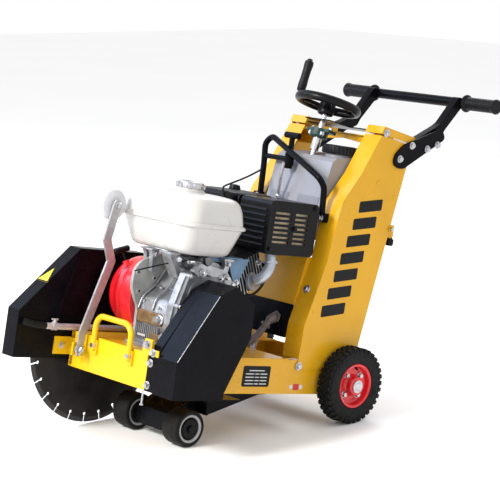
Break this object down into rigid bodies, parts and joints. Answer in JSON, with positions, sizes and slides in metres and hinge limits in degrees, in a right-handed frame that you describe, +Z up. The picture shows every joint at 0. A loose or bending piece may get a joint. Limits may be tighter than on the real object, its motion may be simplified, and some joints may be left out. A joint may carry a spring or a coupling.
{
  "type": "walk-behind concrete saw",
  "caption": "Walk-behind petrol concrete saw with a guarded diamond blade, handwheel depth screw, water tank and fold-down handlebar.",
  "frame": {"origin": "centre of the overall box at floor level", "axes": "+X forward along the direction of travel, +Y to the operator's left, +Z up; the bed stands 9.4 degrees nose-up on its small front wheels"},
  "size_m": [1.2878, 0.57, 0.9392],
  "materials": {
    "yellow_paint": "gloss",
    "black_paint": "gloss",
    "green_cast": "painted",
    "zinc": "zinc plated",
    "steel": "ground",
    "cast_alloy": "as cast",
    "cast_iron_grey": "as cast",
    "red_paint": "gloss",
    "black_plastic": "satin",
    "white_paint": "gloss",
    "tank_plastic": "translucent look",
    "white_nylon": "satin",
    "blue_grey_plate": "satin",
    "black_rubber": "matt",
    "tyre_rubber": "matt",
    "hose_rubber": "matt"
  },
  "bodies": {
    "chassis": {"main_frame": "yellow_paint", "front_plate": "yellow_paint", "tow_handle": "yellow_paint", "tower_left": "yellow_paint", "tower_right": "yellow_paint", "tower_panel": "yellow_paint", "lower_panel": "black_paint", "screw_cover": "yellow_paint", "top_cover": "yellow_paint", "dash_plate": "black_paint", "bearing_block": "green_cast", "lifting_hoop": "black_paint", "belt_guard": "black_paint", "blade_guard": "black_paint", "spindle_bearing_left": "cast_iron_grey", "spindle_bearing_right": "cast_iron_grey", "water_tank": "tank_plastic", "water_hose": "hose_rubber", "water_pipe": "zinc", "crankcase": "cast_alloy", "cylinder": "cast_alloy", "rocker_cover": "cast_alloy", "fan_cover": "red_paint", "recoil_starter": "red_paint", "fuel_tank": "white_paint", "tank_bracket": "blue_grey_plate", "air_cleaner": "black_plastic", "muffler": "cast_alloy", "muffler_guard": "black_paint", "throttle_cable": "black_rubber", "v_belts": "black_rubber", "rear_axle": "zinc"},
    "rear_wheel_left": {"rear_rim_left": "red_paint", "rear_tyre_left": "tyre_rubber"},
    "rear_wheel_right": {"rear_rim_right": "red_paint", "rear_tyre_right": "tyre_rubber"},
    "swing_arm": {"swing_arm": "black_paint"},
    "front_wheel_left": {"front_wheel_left": "black_rubber"},
    "front_wheel_right": {"front_wheel_right": "black_rubber"},
    "depth_wheel": {"handwheel": "black_paint", "lift_screw": "zinc"},
    "crank_grip": {"crank_grip": "black_plastic"},
    "lift_nut": {"lift_nut": "steel"},
    "clamp_handle": {"clamp_handle": "black_paint"},
    "blade_drive": {"blade": "steel", "blade_spindle": "steel", "arbor_flange": "steel", "spindle_pulley": "cast_iron_grey"},
    "engine_shaft": {"engine_pulley": "cast_iron_grey"},
    "guide_arm": {"guide_arm": "zinc"},
    "guide_wheel": {"guide_wheel": "white_nylon"},
    "handlebar": {"handlebar": "black_paint", "handle_bracket_left": "black_paint", "handle_bracket_right": "black_paint", "handle_grip_left": "black_rubber", "handle_grip_right": "black_rubber"},
    "starter_grip": {"starter_grip": "black_plastic"},
    "fuel_cap": {"fuel_cap": "black_plastic"},
    "water_tank_lid": {"water_tank_lid": "black_plastic"}
  },
  "joints": [
    {"name": "rear_left_spin", "type": "hinge", "parent": "chassis", "child": "rear_wheel_left", "pos_m": [-0.1669, 0.205, 0.1016], "axis": [0, 1, 0], "continuous": true},
    {"name": "rear_right_spin", "type": "hinge", "parent": "chassis", "child": "rear_wheel_right", "pos_m": [-0.1669, -0.205, 0.1016], "axis": [0, 1, 0], "continuous": true},
    {"name": "swing_arm_lift", "type": "hinge", "parent": "chassis", "child": "swing_arm", "pos_m": [-0.06382, 0, 0.10343], "axis": [0, -1, 0], "range_deg": [-1.5, 15]},
    {"name": "front_left_spin", "type": "hinge", "parent": "swing_arm", "child": "front_wheel_left", "pos_m": [0.31849, 0.099, 0.047], "axis": [0, 1, 0], "continuous": true},
    {"name": "front_right_spin", "type": "hinge", "parent": "swing_arm", "child": "front_wheel_right", "pos_m": [0.31849, -0.099, 0.047], "axis": [0, 1, 0], "continuous": true},
    {"name": "depth_wheel_turn", "type": "hinge", "parent": "chassis", "child": "depth_wheel", "pos_m": [-0.255, 0, 0.81883], "axis": [-0.3665, 0, 0.9304], "range_deg": [-165, 1655]},
    {"name": "lift_nut_travel", "type": "slide", "parent": "chassis", "child": "lift_nut", "axis": [-0.3665, 0, 0.9304], "range_m": [-0.0023, 0.023]},
    {"name": "crank_grip_spin", "type": "hinge", "parent": "depth_wheel", "child": "crank_grip", "pos_m": [-0.20169, -0.0573, 0.83983], "axis": [-0.3665, 0, 0.9304], "continuous": true},
    {"name": "clamp_turn", "type": "hinge", "parent": "chassis", "child": "clamp_handle", "pos_m": [-0.1545, -0.028, 0.73814], "axis": [-0.163, 0, 0.9866], "range_deg": [-90, 90]},
    {"name": "blade_spin", "type": "hinge", "parent": "chassis", "child": "blade_drive", "pos_m": [0.37165, -0.199, 0.20376], "axis": [0, 1, 0], "continuous": true},
    {"name": "engine_spin", "type": "hinge", "parent": "chassis", "child": "engine_shaft", "pos_m": [0.29623, 0.2, 0.35347], "axis": [0, 1, 0], "continuous": true},
    {"name": "guide_arm_fold", "type": "hinge", "parent": "chassis", "child": "guide_arm", "pos_m": [0.49285, -0.1, 0.23088], "axis": [0, 1, 0], "range_deg": [0, 135]},
    {"name": "guide_wheel_spin", "type": "hinge", "parent": "guide_arm", "child": "guide_wheel", "pos_m": [0.40474, -0.088, 0.59236], "axis": [0, 1, 0], "continuous": true},
    {"name": "handlebar_fold", "type": "hinge", "parent": "chassis", "child": "handlebar", "pos_m": [-0.35646, 0, 0.68449], "axis": [0, -1, 0], "range_deg": [0, 75]},
    {"name": "starter_pull", "type": "slide", "parent": "chassis", "child": "starter_grip", "axis": [0.1052, -0.43, 0.8967], "range_m": [0, 0.5], "stiffness_N_per_m": 40, "springref_m": -0.02},
    {"name": "fuel_cap_turn", "type": "hinge", "parent": "chassis", "child": "fuel_cap", "pos_m": [0.25142, 0.03, 0.63696], "axis": [-0.163, 0, 0.9866], "range_deg": [0, 90]},
    {"name": "tank_lid_turn", "type": "hinge", "parent": "chassis", "child": "water_tank_lid", "pos_m": [-0.24591, 0.06, 0.69019], "axis": [-0.163, 0, 0.9866], "range_deg": [0, 360]}
  ],
  "couplings": [
    {"joint": "swing_arm_lift", "follows": "depth_wheel_turn", "ratio": 0.00905},
    {"joint": "lift_nut_travel", "follows": "depth_wheel_turn", "m_per_rad": 0.00079577},
    {"joint": "engine_spin", "follows": "blade_spin", "ratio": 0.8}
  ]
}
